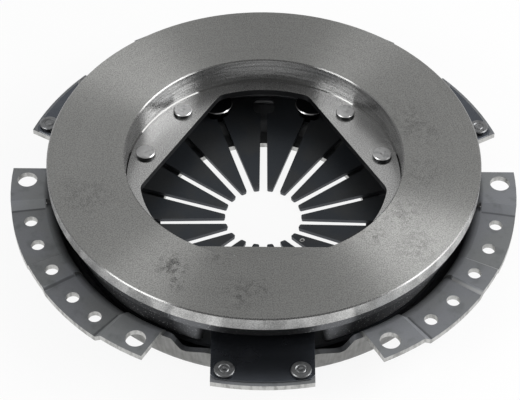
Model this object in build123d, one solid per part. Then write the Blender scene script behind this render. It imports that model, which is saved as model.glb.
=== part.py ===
from build123d import *

import math
import os

# Clutch pressure plate with a diaphragm spring, for a driven disc of 228 mm.
# Frame: Z is the axis of rotation, z = 0 is the plane of the six bolting pads,
# and +Z points to the flywheel. The free state is modelled: nothing is bolted
# down, and the spring holds the casting out. The assembly repeats every 120
# degrees: three ears at 30, 150 and 270 degrees carry the leaf springs, and
# three flange sectors at 90, 210 and 330 degrees carry the bolts.

THIRDS = (0, 120, 240)
FIRST_EAR = 30
FIRST_SECTOR = 90

# Pressure plate casting
FRICTION_FACE_Z = 21.1
RING_R = 115.0
BORE_R = 73.9
RIM_BAND_DEPTH = 7.8        # turned band below the friction face
CAST_SIDE_TOP_R = 113.8
CAST_SIDE_FOOT_R = 111.8
CAST_FOOT_BEVEL = 2.5
BAND_STEP = 0.6             # height of the slope from the cast side to the band
RING_UNDERSIDE_Z = 2.6
FACE_CHAMFER = 0.6
LEDGE_TOP_Z = 5.3
LEDGE_UNDERSIDE_Z = 1.7
LEDGE_SEAT_R = 76.5         # the machined underside of the ledge ends here
LEDGE_SEAT_RAMP = 1.5
LEDGE_BLANK_R = 40.0
OPENING_ARC_R = 66.5
OPENING_CHORD = 52.3        # distance of the three straight edges from the axis
OPENING_CORNER_R = 8.0

# Fulcrum ridges under the casting, which press on the diaphragm spring
RIDGE_R = 103.0
RIDGE_ROOT_HALF = 4.2
RIDGE_ROOT_DEPTH = 1.0      # how far a ridge's section runs into the ring
RIDGE_NOSE_R = 2.4
RIDGE_END_ANGLE = 18.5      # from the middle of an ear to the end of a ridge
RIDGE_GAP = 0.1             # left free above the spring

# Diaphragm spring
FINGERS = 18
FIRST_SLOT = 10
TIP_R = 21.0
TIP_TOP_Z = -27.3
SPRING_RIM_R = 105.5
SPRING_SLOPE = 0.163
SPRING_THICKNESS = 2.1
SLOT_HALF_AT_TIP = 2.15
SLOT_HALF_AT_WINDOW = 1.75
TIP_CHAMFER = 0.5
MARK_RADIUS = 28.0          # punch mark on one finger
MARK_ANGLE = -41.0
MARK_R = 1.0
MARK_DEPTH = 0.6
WINDOW_LENGTH = 11.0
WINDOW_WIDTH = 12.0
WINDOW_CORNER_R = 3.5

# Fulcrum rings and the rivets that hold them
FULCRUM_R = 85.0
WIRE_R = 1.75
SEATING = 0.02              # gap left at a seat, so that neighbours only touch
SPACER_RIVETS = 9
SPACER_CIRCLE_R = 78.5
FIRST_SPACER = 30
SPACER_HEAD_R = 9.0
SPACER_HEAD_HEIGHT = 1.5
SPACER_COLLAR_R = 4.6
SPACER_SHANK_R = 3.5
SPACER_CLOSING_R = 5.5
SPACER_CLOSING_HEIGHT = 2.2

# Cover pressing
SHEET = 3.1
BEND_R = 2.5
FLOOR_Z = -26.5             # inner face of the floor
COVER_HOLE_R = 56.3
BEAD_Z = -22.6              # inner face of the raised bead below the spring
BEAD_FOOT_R = 66.0
BEAD_TOP_R = 70.5
BEAD_END_R = 89.5
BEAD_OUTER_FOOT_R = 94.0
BEAD_BEND_R = 2.0
WALL_FOOT_R = 107.8
WALL_FOOT_BEND_R = 6.0
WALL_TOP_R = 112.8          # at the level of the low flange zones
FLANGE_R = 135.5
PAD_Z = 0.0
LOW_ZONE_Z = -3.75
MIDDLE_ZONE_Z = -1.9
EAR_Z = -5.3
WALL_SPLIT_Z = -13.5        # the pan ends here and the flange wedges begin
MIDDLE_STEP_ANGLE = 4.4     # foot of each joggle, from the middle of a sector
PAD_STEP_ANGLE = 21.5
NOTCH_MIDDLE_ANGLE = 40.5
SECTOR_END_OFFSET = 8.6     # end edge of a sector, beside its last bolt's radius
EAR_HALF_WIDTH = 26.0
NOTCH_CORNER_R = 2.8
NOTCH_HALF_REACH = 24.0     # half the cutter's width, more than half the gap's
NOTCH_START_R = 98.0        # the notch cutter runs from inside the wall
NOTCH_END_R = 142.0         # to beyond the flange

# Bottom of a notch in the wall, as distance from the notch's middle, counted
# towards the ear, and height: a steep flank at the sector, then a slow rise
NOTCH_SHOULDER = (-8.4, -3.9)
NOTCH_LOWEST = (-3.7, -13.4)
NOTCH_LOWEST_END = (-0.5, -13.4)
NOTCH_EAR_SIDE = (10.0, -9.4)

# Holes in the flange
BOLT_CIRCLE_R = 127.0
BOLT_HOLE_R = 5.25
BOLT_ANGLE = 30
SMALL_HOLE_CIRCLE_R = 126.0
SMALL_HOLE_R = 3.5
SMALL_HOLE_ANGLES = (-17.5, -9.5, 0, 9.5, 17.5)

# Leaf springs and their rivets
LEAF_THICKNESS = 1.0
LEAF_INNER_END = 55.0
LEAF_OUTER_R = 133.5
LEAF_LIFT_START = 70.5
LEAF_LIFT_END = 117.0
LEAF_BEND_R = 6.0
LEAF_CHAMFER = 2.3
LEAF_SLOT_START = 76.0
LEAF_SLOT_END = 104.0
LEAF_SLOT_WIDTH = 12.0
RIVET_LATERAL = 19.0
RIVET_SHANK_R = 3.0
RIVET_CLEARANCE = 0.2
PLATE_RIVET_RADIAL = 62.8
PLATE_RIVET_HEAD_R = 5.15
PLATE_RIVET_HEAD_HEIGHT = 2.1
EAR_RIVET_RADIAL = 126.65
EAR_RIVET_HEAD_R = 5.25
EAR_RIVET_HEAD_HEIGHT = 1.8
CLOSING_HEAD_R = 5.0
CLOSING_HEAD_HEIGHT = 1.9
HEAD_EDGE = 0.45
DIMPLE_R = 1.2
DIMPLE_DEPTH = 0.3
RING_MARK_R = 2.5
RING_MARK_WIDTH = 0.5

# Worked out from the dimensions above
SPRING_ANGLE = math.atan(SPRING_SLOPE)
EAR_UNDERSIDE_Z = EAR_Z - SHEET
LEAF_OUTER_Z = EAR_Z + LEAF_THICKNESS
TALL = 100.0


def spring_top(radius):
    """Height of the spring's upper face at a radius."""
    return TIP_TOP_Z + SPRING_SLOPE * (radius - TIP_R)


def spring_underside(radius):
    """Height of the spring's lower face at a radius."""
    return spring_top(radius) - SPRING_THICKNESS / math.cos(SPRING_ANGLE)


UPPER_RING_Z = spring_top(FULCRUM_R) + WIRE_R / math.cos(SPRING_ANGLE) + SEATING
LOWER_RING_Z = spring_underside(FULCRUM_R) - WIRE_R / math.cos(SPRING_ANGLE) - SEATING
SPACER_HEAD_Z = UPPER_RING_Z + WIRE_R + SEATING
RIDGE_NOSE_Z = spring_top(RIDGE_R) + RIDGE_NOSE_R / math.cos(SPRING_ANGLE) + RIDGE_GAP


def turn(shape, angle):
    """The shape turned about the axis of rotation."""
    return shape.rotate(Axis.Z, angle)


def at_radius(shape, radius, angle, z=0.0):
    """The shape moved out to a radius, at an angle and a height."""
    return turn(shape.moved(Location((radius, 0, z))), angle)


def round_hole(radius):
    """Cutter for a hole parallel to the axis."""
    return extrude(Circle(radius).moved(Location((0, 0, -TALL))), 2 * TALL)


def arc_of(face, start, end):
    """A section in the plane of radius and height, revolved from one angle to another."""
    return turn(revolve(Plane.XZ * face, Axis.Z, end - start), start)


def closed_section(*corners):
    """A straight-sided section whose corners are given as radius and height."""
    return make_face(Polyline(*corners, close=True))


def sheet_section(corners, bends, thickness):
    """Section of a bent sheet.

    The corners lie on its upper face, from the axis outwards, and each bend
    radius is the one on the inside of its bend.
    """
    upper = [Vector(radius, z) for radius, z in corners]
    runs = [(b - a).normalized() for a, b in zip(upper, upper[1:])]
    normals = [Vector(run.Y, -run.X) for run in runs]
    lower = [upper[0] + normals[0] * thickness]
    upper_radii = []
    lower_radii = []
    for i, bend in enumerate(bends):
        before, after = normals[i], normals[i + 1]
        mitre = (before + after) * (thickness / (1 + before.dot(after)))
        lower.append(upper[i + 1] + mitre)
        rises = runs[i].cross(runs[i + 1]).Z > 0
        upper_radii.append(bend if rises else bend + thickness)
        lower_radii.append(bend + thickness if rises else bend)
    lower.append(upper[-1] + normals[-1] * thickness)
    if bends:
        upper_edge = FilletPolyline(*upper, radius=upper_radii)
        lower_edge = FilletPolyline(*lower, radius=lower_radii)
    else:
        upper_edge = Line(*upper)
        lower_edge = Line(*lower)
    inner_end = Line(upper[0], lower[0])
    outer_end = Line(upper[-1], lower[-1])
    return make_face([upper_edge, lower_edge, inner_end, outer_end])


# ---------------------------------------------------------------- casting

def opening():
    """The opening in the ledge: three arcs joined by three straight edges."""
    outline = Circle(OPENING_ARC_R)
    for third in THIRDS:
        beyond = Pos(OPENING_CHORD + OPENING_ARC_R, 0) * Rectangle(
            2 * OPENING_ARC_R, 4 * OPENING_ARC_R
        )
        outline -= beyond.rotate(Axis.Z, FIRST_EAR + third)
    rounded = fillet(outline.vertices(), OPENING_CORNER_R)
    return extrude(rounded.moved(Location((0, 0, -TALL))), 2 * TALL)


def fulcrum_ridge():
    """One ridge, as an arc with round ends, hanging from the ring's underside."""
    root_z = RING_UNDERSIDE_Z + RIDGE_ROOT_DEPTH
    side_z = RIDGE_NOSE_Z
    half = make_face([
        Line((0, root_z), (RIDGE_ROOT_HALF, root_z)),
        Line((RIDGE_ROOT_HALF, root_z), (RIDGE_NOSE_R, side_z)),
        RadiusArc((RIDGE_NOSE_R, side_z), (0, side_z - RIDGE_NOSE_R), RIDGE_NOSE_R),
        Line((0, side_z - RIDGE_NOSE_R), (0, root_z)),
    ])
    whole = half + half.mirror(Plane.YZ)
    start = RIDGE_END_ANGLE
    end = THIRDS[1] - RIDGE_END_ANGLE
    ridge = arc_of(whole.moved(Location((RIDGE_R, 0))), start, end)
    round_end = revolve(Plane.XZ * half, Axis.Z)
    for angle in (start, end):
        ridge += at_radius(round_end, RIDGE_R, angle)
    return ridge


def pressure_plate_casting():
    """Ring with the friction face, the riveting ledge and three fulcrum ridges."""
    band_foot = FRICTION_FACE_Z - RIM_BAND_DEPTH
    body = arc_of(
        closed_section(
            (LEDGE_BLANK_R, LEDGE_UNDERSIDE_Z),
            (LEDGE_SEAT_R, LEDGE_UNDERSIDE_Z),
            (LEDGE_SEAT_R + LEDGE_SEAT_RAMP, RING_UNDERSIDE_Z),
            (CAST_SIDE_FOOT_R - CAST_FOOT_BEVEL, RING_UNDERSIDE_Z),
            (CAST_SIDE_FOOT_R, RING_UNDERSIDE_Z + CAST_FOOT_BEVEL),
            (CAST_SIDE_TOP_R, band_foot - BAND_STEP),
            (RING_R, band_foot),
            (RING_R, FRICTION_FACE_Z - FACE_CHAMFER),
            (RING_R - FACE_CHAMFER, FRICTION_FACE_Z),
            (BORE_R + FACE_CHAMFER, FRICTION_FACE_Z),
            (BORE_R, FRICTION_FACE_Z - FACE_CHAMFER),
            (BORE_R, LEDGE_TOP_Z + FACE_CHAMFER),
            (BORE_R - FACE_CHAMFER, LEDGE_TOP_Z),
            (LEDGE_BLANK_R, LEDGE_TOP_Z),
        ),
        0,
        360,
    )
    body -= opening()
    for third in THIRDS:
        body += turn(fulcrum_ridge(), FIRST_EAR + third)
    hole = round_hole(RIVET_SHANK_R)
    for angle, lateral in rivet_places():
        body -= turn(hole.moved(Location((PLATE_RIVET_RADIAL, lateral, 0))), angle)
    return body


# ----------------------------------------------------------------- spring

def diaphragm_spring():
    """Coned disc with a rim, and fingers parted by slots that end in windows."""
    section = sheet_section(
        [(TIP_R, TIP_TOP_Z), (SPRING_RIM_R, spring_top(SPRING_RIM_R))], [], SPRING_THICKNESS
    )
    spring = arc_of(section, 0, 360)
    inside = TIP_R / 2
    flare = SLOT_HALF_AT_TIP + TIP_CHAMFER
    chamfer_end = TIP_R + TIP_CHAMFER
    edge = [
        (inside, flare),
        (TIP_R, flare),
        (chamfer_end, SLOT_HALF_AT_TIP),
        (SPACER_CIRCLE_R, SLOT_HALF_AT_WINDOW),
    ]
    slot = make_face(Polyline(*edge, *[(x, -y) for x, y in reversed(edge)], close=True))
    window = Pos(SPACER_CIRCLE_R, 0) * RectangleRounded(
        WINDOW_LENGTH, WINDOW_WIDTH, WINDOW_CORNER_R
    )
    cutter = extrude((slot + window).moved(Location((0, 0, -TALL))), 2 * TALL)
    step = 360 / FINGERS
    spring -= [turn(cutter, FIRST_SLOT + i * step) for i in range(FINGERS)]
    punch = Cone(0, 2 * MARK_R, 2 * MARK_DEPTH)
    return spring - at_radius(punch, MARK_RADIUS, MARK_ANGLE, spring_top(MARK_RADIUS))


def fulcrum_ring(z):
    """Round wire ring that the spring tilts on."""
    return Pos(0, 0, z) * Torus(FULCRUM_R, WIRE_R)


# ------------------------------------------------------------------ cover

def wall_top(z):
    """Point on the upper face of the wall at a height."""
    rise = (z - FLOOR_Z) / (LOW_ZONE_Z - FLOOR_Z)
    return (WALL_FOOT_R + rise * (WALL_TOP_R - WALL_FOOT_R), z)


def flange_wedge(level, start, end, rim=FLANGE_R):
    """Upper wall, bend and flange at one level, from one angle to another."""
    corners = [wall_top(WALL_SPLIT_Z), wall_top(level), (rim, level)]
    return arc_of(sheet_section(corners, [BEND_R], SHEET), start, end)


def flange_blade(level, angle):
    """Section of the flange's flat part at an angle, for the joggles."""
    inner = WALL_TOP_R + BEND_R + SHEET / 2
    plate = closed_section(
        (inner, level), (FLANGE_R, level), (FLANGE_R, level - SHEET), (inner, level - SHEET)
    )
    return (Plane.XZ * plate).rotate(Axis.Z, angle)


def joggle(low, high, foot_angle, way):
    """Sloping step between two flange levels, and the angle of its head.

    The foot is at foot_angle. The step climbs away from the middle of the
    sector where way is 1, and towards it where way is -1.
    """
    head_angle = foot_angle + way * math.degrees((high - low) / SMALL_HOLE_CIRCLE_R)
    slope = loft([flange_blade(low, foot_angle), flange_blade(high, head_angle)], ruled=True)
    inner_rim = WALL_TOP_R + 2 * BEND_R
    first, last = sorted((foot_angle, head_angle))
    return slope + flange_wedge(low, first, last, inner_rim), head_angle


def notch_cutter():
    """Clears the flange between a sector's end and an ear, down into the wall."""
    reach = (NOTCH_START_R, NOTCH_END_R)
    sector_edge = [Vector(radius, SECTOR_END_OFFSET).rotate(Axis.Z, BOLT_ANGLE) for radius in reach]
    ear_edge = [
        Vector(radius, -EAR_HALF_WIDTH).rotate(Axis.Z, 2 * BOLT_ANGLE) for radius in reversed(reach)
    ]
    outline = make_face(Polyline(*sector_edge, *ear_edge, close=True))
    gap = extrude(outline.moved(Location((0, 0, -TALL))), 2 * TALL)
    sector_side = (-NOTCH_HALF_REACH, NOTCH_SHOULDER[1])
    ear_side = (NOTCH_HALF_REACH, NOTCH_EAR_SIDE[1])
    bottom = [sector_side, NOTCH_SHOULDER, NOTCH_LOWEST, NOTCH_LOWEST_END, NOTCH_EAR_SIDE, ear_side]
    above = [ear_side, (NOTCH_HALF_REACH, TALL), (-NOTCH_HALF_REACH, TALL), sector_side]
    profile = make_face([FilletPolyline(*bottom, radius=NOTCH_CORNER_R), Polyline(*above)])
    section = (Plane.YZ * profile).moved(Location((NOTCH_START_R, 0, 0)))
    bottom_cutter = turn(extrude(section, NOTCH_END_R - NOTCH_START_R), NOTCH_MIDDLE_ANGLE)
    return (gap & bottom_cutter).solid()


def cover_third():
    """One flange sector with half an ear at each side, round the +X axis."""
    limit = THIRDS[1] / 2
    pan_corners = [
        (COVER_HOLE_R, FLOOR_Z),
        (BEAD_FOOT_R, FLOOR_Z),
        (BEAD_TOP_R, BEAD_Z),
        (BEAD_END_R, BEAD_Z),
        (BEAD_OUTER_FOOT_R, FLOOR_Z),
        (WALL_FOOT_R, FLOOR_Z),
        wall_top(WALL_SPLIT_Z),
    ]
    pan_bends = [BEAD_BEND_R] * 4 + [WALL_FOOT_BEND_R]
    third = arc_of(sheet_section(pan_corners, pan_bends, SHEET), -limit, limit)
    notch = notch_cutter()
    middle_step, middle_edge = joggle(LOW_ZONE_Z, MIDDLE_ZONE_Z, MIDDLE_STEP_ANGLE, -1)
    pad_step, pad_edge = joggle(LOW_ZONE_Z, PAD_Z, PAD_STEP_ANGLE, 1)
    half = [
        middle_step,
        flange_wedge(LOW_ZONE_Z, MIDDLE_STEP_ANGLE, PAD_STEP_ANGLE),
        pad_step,
        flange_wedge(PAD_Z, pad_edge, NOTCH_MIDDLE_ANGLE) - notch,
        flange_wedge(EAR_Z, NOTCH_MIDDLE_ANGLE, limit) - notch,
    ]
    third += flange_wedge(MIDDLE_ZONE_Z, -middle_edge, middle_edge)
    third += half + [piece.mirror(Plane.XZ) for piece in half]
    bolt_hole, small_hole = round_hole(BOLT_HOLE_R), round_hole(SMALL_HOLE_R)
    third -= [at_radius(bolt_hole, BOLT_CIRCLE_R, a) for a in (-BOLT_ANGLE, BOLT_ANGLE)]
    return third - [at_radius(small_hole, SMALL_HOLE_CIRCLE_R, a) for a in SMALL_HOLE_ANGLES]


def cover():
    """Deep-drawn pan with a bead, three flange sectors and three ears."""
    third = cover_third()
    whole = turn(third, FIRST_SECTOR)
    for angle in THIRDS[1:]:
        whole += turn(third, FIRST_SECTOR + angle)
    rivet_hole = round_hole(RIVET_SHANK_R)
    for angle, lateral in rivet_places():
        whole -= turn(rivet_hole.moved(Location((EAR_RIVET_RADIAL, lateral, 0))), angle)
    spacer_hole = round_hole(SPACER_SHANK_R)
    for angle in spacer_angles():
        whole -= at_radius(spacer_hole, SPACER_CIRCLE_R, angle)
    return whole


# ------------------------------------------------------------ leaf springs

def leaf_spring(angle):
    """Flat spring from an ear to the casting's ledge, with a slot between its two arms."""
    corners = [
        (LEAF_INNER_END, LEDGE_UNDERSIDE_Z),
        (LEAF_LIFT_START, LEDGE_UNDERSIDE_Z),
        (LEAF_LIFT_END, LEAF_OUTER_Z),
        (FLANGE_R, LEAF_OUTER_Z),
    ]
    section = Plane.XZ * sheet_section(corners, [LEAF_BEND_R] * 2, LEAF_THICKNESS)
    strip = extrude(section, EAR_HALF_WIDTH, both=True)
    length = FLANGE_R - LEAF_INNER_END
    outline = Pos(LEAF_INNER_END + length / 2, 0) * Rectangle(length, 2 * EAR_HALF_WIDTH)
    outline &= Circle(LEAF_OUTER_R)
    outer_corners = outline.vertices().sort_by(Axis.X)[-2:]
    outline = chamfer(outer_corners, LEAF_CHAMFER)
    slot_length = LEAF_SLOT_END - LEAF_SLOT_START
    slot_middle = (LEAF_SLOT_END + LEAF_SLOT_START) / 2
    outline -= Pos(slot_middle, 0) * SlotOverall(slot_length, LEAF_SLOT_WIDTH)
    for lateral in (-RIVET_LATERAL, RIVET_LATERAL):
        outline -= Pos(PLATE_RIVET_RADIAL, lateral) * Circle(RIVET_SHANK_R + RIVET_CLEARANCE)
        outline -= Pos(EAR_RIVET_RADIAL, lateral) * Circle(RIVET_SHANK_R)
    blank = extrude(outline.moved(Location((0, 0, -TALL))), 2 * TALL)
    return turn(strip & blank, angle)


# ----------------------------------------------------------------- rivets

def rivet_places():
    """Angle of the ear and sideways offset of each of the six places for a leaf rivet."""
    return [(FIRST_EAR + third, side) for third in THIRDS for side in (-RIVET_LATERAL, RIVET_LATERAL)]


def spacer_angles():
    """Angles of the spacer rivets."""
    return [FIRST_SPACER + i * 360 / SPACER_RIVETS for i in range(SPACER_RIVETS)]


def rivet(head_r, head_z, head_height, closing_z):
    """Flat-headed rivet, closed from below, with its head seated at head_z."""
    top = head_z + head_height
    foot = closing_z - CLOSING_HEAD_HEIGHT
    section = closed_section(
        (0, top - DIMPLE_DEPTH),
        (DIMPLE_R, top),
        (head_r - HEAD_EDGE, top),
        (head_r, top - HEAD_EDGE),
        (head_r, head_z),
        (RIVET_SHANK_R, head_z),
        (RIVET_SHANK_R, closing_z),
        (CLOSING_HEAD_R, closing_z),
        (CLOSING_HEAD_R, foot + HEAD_EDGE),
        (CLOSING_HEAD_R - HEAD_EDGE, foot),
        (0, foot),
    )
    return arc_of(section, 0, 360)


def plate_rivet():
    """Rivet through the casting's ledge and the leaf spring."""
    leaf_underside = LEDGE_UNDERSIDE_Z - LEAF_THICKNESS
    return rivet(PLATE_RIVET_HEAD_R, LEDGE_TOP_Z, PLATE_RIVET_HEAD_HEIGHT, leaf_underside)


def ear_rivet():
    """Rivet through the leaf spring and the cover's ear, with a punched ring in its head."""
    body = rivet(EAR_RIVET_HEAD_R, LEAF_OUTER_Z, EAR_RIVET_HEAD_HEIGHT, EAR_UNDERSIDE_Z)
    top = LEAF_OUTER_Z + EAR_RIVET_HEAD_HEIGHT
    groove = closed_section(
        (RING_MARK_R - RING_MARK_WIDTH, top),
        (RING_MARK_R, top - DIMPLE_DEPTH),
        (RING_MARK_R + RING_MARK_WIDTH, top),
    )
    return body - arc_of(groove, 0, 360)


def spacer_rivet():
    """Rivet that holds both fulcrum rings, with a collar that stands in a spring window."""
    top = SPACER_HEAD_Z + SPACER_HEAD_HEIGHT
    cover_underside = BEAD_Z - SHEET
    foot = cover_underside - SPACER_CLOSING_HEIGHT
    section = closed_section(
        (0, top),
        (SPACER_HEAD_R - HEAD_EDGE, top),
        (SPACER_HEAD_R, top - HEAD_EDGE),
        (SPACER_HEAD_R, SPACER_HEAD_Z),
        (SPACER_COLLAR_R, SPACER_HEAD_Z),
        (SPACER_COLLAR_R, BEAD_Z),
        (SPACER_SHANK_R, BEAD_Z),
        (SPACER_SHANK_R, cover_underside),
        (SPACER_CLOSING_R, cover_underside),
        (SPACER_CLOSING_R, foot + HEAD_EDGE),
        (SPACER_CLOSING_R - HEAD_EDGE, foot),
        (0, foot),
    )
    return arc_of(section, 0, 360)


# ------------------------------------------------------------------ output

def assembly():
    """Every piece in its place, by name."""
    pieces = {
        "cover": cover(),
        "pressure_plate_casting": pressure_plate_casting(),
        "diaphragm_spring": diaphragm_spring(),
        "fulcrum_ring_upper": fulcrum_ring(UPPER_RING_Z),
        "fulcrum_ring_lower": fulcrum_ring(LOWER_RING_Z),
    }
    for number, third in enumerate(THIRDS, 1):
        pieces[f"leaf_spring_{number}"] = leaf_spring(FIRST_EAR + third)
    for number, angle in enumerate(spacer_angles(), 1):
        pieces[f"spacer_rivet_{number}"] = at_radius(spacer_rivet(), SPACER_CIRCLE_R, angle)
    for number, (angle, lateral) in enumerate(rivet_places(), 1):
        on_plate = plate_rivet().moved(Location((PLATE_RIVET_RADIAL, lateral, 0)))
        on_ear = ear_rivet().moved(Location((EAR_RIVET_RADIAL, lateral, 0)))
        pieces[f"plate_rivet_{number}"] = turn(on_plate, angle)
        pieces[f"ear_rivet_{number}"] = turn(on_ear, angle)
    return pieces


os.makedirs("parts", exist_ok=True)
for name, piece in assembly().items():
    export_step(piece, f"parts/{name}.step")
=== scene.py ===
"""Looks of a clutch pressure plate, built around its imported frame.

Lengths are in metres in the frame's own axes: Z is the axis of rotation, z = 0 is the
plane of the bolting pads, and +Z points out of the friction face. The diaphragm spring
and the three leaf springs are modelled here, because they bend when the plate travels;
every other piece is the frame's own solid, dressed with a finish.
"""

from __future__ import annotations

import logging
import math
from dataclasses import dataclass, field
from enum import Enum

import bmesh
import bpy
from mathutils import Euler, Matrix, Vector

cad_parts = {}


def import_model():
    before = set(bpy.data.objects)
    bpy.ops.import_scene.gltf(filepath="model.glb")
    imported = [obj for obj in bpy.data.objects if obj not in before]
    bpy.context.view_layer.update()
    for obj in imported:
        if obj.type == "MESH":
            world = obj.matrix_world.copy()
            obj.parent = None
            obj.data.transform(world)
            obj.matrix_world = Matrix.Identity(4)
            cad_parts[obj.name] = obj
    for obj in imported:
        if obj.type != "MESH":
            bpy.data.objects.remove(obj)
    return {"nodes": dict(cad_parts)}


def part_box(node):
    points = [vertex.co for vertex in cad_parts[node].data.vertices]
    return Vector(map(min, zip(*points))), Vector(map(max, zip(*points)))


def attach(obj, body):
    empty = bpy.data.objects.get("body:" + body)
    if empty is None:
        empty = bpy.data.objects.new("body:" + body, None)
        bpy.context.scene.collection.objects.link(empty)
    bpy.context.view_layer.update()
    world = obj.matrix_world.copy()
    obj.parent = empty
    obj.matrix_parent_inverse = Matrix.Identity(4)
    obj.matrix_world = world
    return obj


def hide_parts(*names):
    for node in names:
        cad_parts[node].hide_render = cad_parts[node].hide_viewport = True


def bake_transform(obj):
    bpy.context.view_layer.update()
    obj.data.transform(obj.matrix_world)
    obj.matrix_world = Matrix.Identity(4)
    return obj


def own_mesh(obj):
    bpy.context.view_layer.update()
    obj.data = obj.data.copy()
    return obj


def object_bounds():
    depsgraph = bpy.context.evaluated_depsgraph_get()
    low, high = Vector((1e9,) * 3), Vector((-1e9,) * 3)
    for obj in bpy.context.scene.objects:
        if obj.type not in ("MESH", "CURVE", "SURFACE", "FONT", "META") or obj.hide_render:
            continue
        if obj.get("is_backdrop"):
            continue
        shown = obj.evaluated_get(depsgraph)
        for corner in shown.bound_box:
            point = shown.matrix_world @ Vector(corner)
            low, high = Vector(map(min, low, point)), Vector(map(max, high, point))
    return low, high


LOG = logging.getLogger("clutch")
MM = 0.001
SECTION_TURN = math.radians(120)
FIRST_EAR_ANGLE = math.radians(30)
FLOOR_GAP = 0.05 * MM
WHITE = (1.0, 1.0, 1.0, 1.0)


class Slot(Enum):
    """The record's material slots meant for the modelled springs; nothing here uses them."""

    SPRING = "spring_steel"
    LEAF = "leaf_steel"


class Body(Enum):
    """Bodies of the frame that a piece can ride on."""

    COVER = "cover_assembly"
    PLATE = "pressure_plate"


def srgb(red: float, green: float, blue: float) -> tuple[float, float, float, float]:
    """Linear colour of a display shade.

    Args:
        red: Red channel, from 0 to 255.
        green: Green channel.
        blue: Blue channel.

    Returns:
        The linear channels and a full alpha.
    """
    low_end, slope, offset, exponent = 0.04045, 12.92, 0.055, 2.4

    def linear(channel: float) -> float:
        """Linear value of one channel."""
        share = channel / 255
        return share / slope if share <= low_end else ((share + offset) / (1 + offset)) ** exponent

    return (linear(red), linear(green), linear(blue), 1.0)


# ------------------------------------------------------------------ shader expressions


class Term:
    """A number in a node tree: an output socket that takes part in arithmetic."""

    def __init__(self, graph: Graph, socket: bpy.types.NodeSocket) -> None:
        """Wraps a socket of a graph."""
        self.graph = graph
        self.socket = socket

    def _math(self, operation: str, *values: Term | float) -> Term:
        """Result of a Math node on the values."""
        node = self.graph.add("ShaderNodeMath", {"operation": operation}, dict(enumerate(values)))
        return Term(self.graph, node.outputs[0])

    def __add__(self, other: Term | float) -> Term:
        """Sum."""
        return self._math("ADD", self, other)

    def __radd__(self, other: float) -> Term:
        """Sum with a plain number first."""
        return self._math("ADD", other, self)

    def __sub__(self, other: Term | float) -> Term:
        """Difference."""
        return self._math("SUBTRACT", self, other)

    def __rsub__(self, other: float) -> Term:
        """Difference from a plain number."""
        return self._math("SUBTRACT", other, self)

    def __mul__(self, other: Term | float) -> Term:
        """Product."""
        return self._math("MULTIPLY", self, other)

    def __rmul__(self, other: float) -> Term:
        """Product with a plain number first."""
        return self._math("MULTIPLY", other, self)

    def __truediv__(self, other: Term | float) -> Term:
        """Quotient."""
        return self._math("DIVIDE", self, other)

    def __rtruediv__(self, other: float) -> Term:
        """Quotient of a plain number."""
        return self._math("DIVIDE", other, self)

    def __abs__(self) -> Term:
        """Size without its sign."""
        return self._math("ABSOLUTE", self)

    def __gt__(self, other: Term | float) -> Term:
        """One where this is the larger, and zero elsewhere."""
        return self._math("GREATER_THAN", self, other)

    def __lt__(self, other: Term | float) -> Term:
        """One where this is the smaller, and zero elsewhere."""
        return self._math("LESS_THAN", self, other)

    def most(self, other: Term | float) -> Term:
        """The larger of the two."""
        return self._math("MAXIMUM", self, other)

    def nearest(self) -> Term:
        """The nearest whole number."""
        return self._math("ROUND", self)

    def bearing(self, along: Term) -> Term:
        """Angle of the flat vector that runs along by the other number and sideways by this."""
        return self._math("ARCTAN2", self, along)

    def rise(self, low: float, high: float) -> Term:
        """Smooth ramp.

        Args:
            low: Where it is zero; it may be the larger.
            high: Where it is one.

        Returns:
            The ramp's height, held at zero and one beyond its ends.
        """
        node = self.graph.add(
            "ShaderNodeMapRange",
            {"interpolation_type": "SMOOTHSTEP"},
            {"Value": self, "From Min": low, "From Max": high},
        )
        return Term(self.graph, node.outputs["Result"])


class Paint:
    """A colour in a node tree."""

    def __init__(self, graph: Graph, socket: bpy.types.NodeSocket) -> None:
        """Wraps a colour socket of a graph."""
        self.graph = graph
        self.socket = socket

    def over(self, other: Paint | tuple, share: Term | float) -> Paint:
        """This colour with a share, from 0 to 1, of another laid over it."""
        node = self.graph.add("ShaderNodeMix", {"data_type": "RGBA"}, {0: share, 6: self, 7: other})
        return Paint(self.graph, node.outputs[2])

    def lit(self, factor: Term) -> Paint:
        """This colour made lighter or darker by a factor."""
        node = self.graph.add("ShaderNodeVectorMath", {"operation": "SCALE"}, {0: self, "Scale": factor})
        return Paint(self.graph, node.outputs[0])


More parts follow.
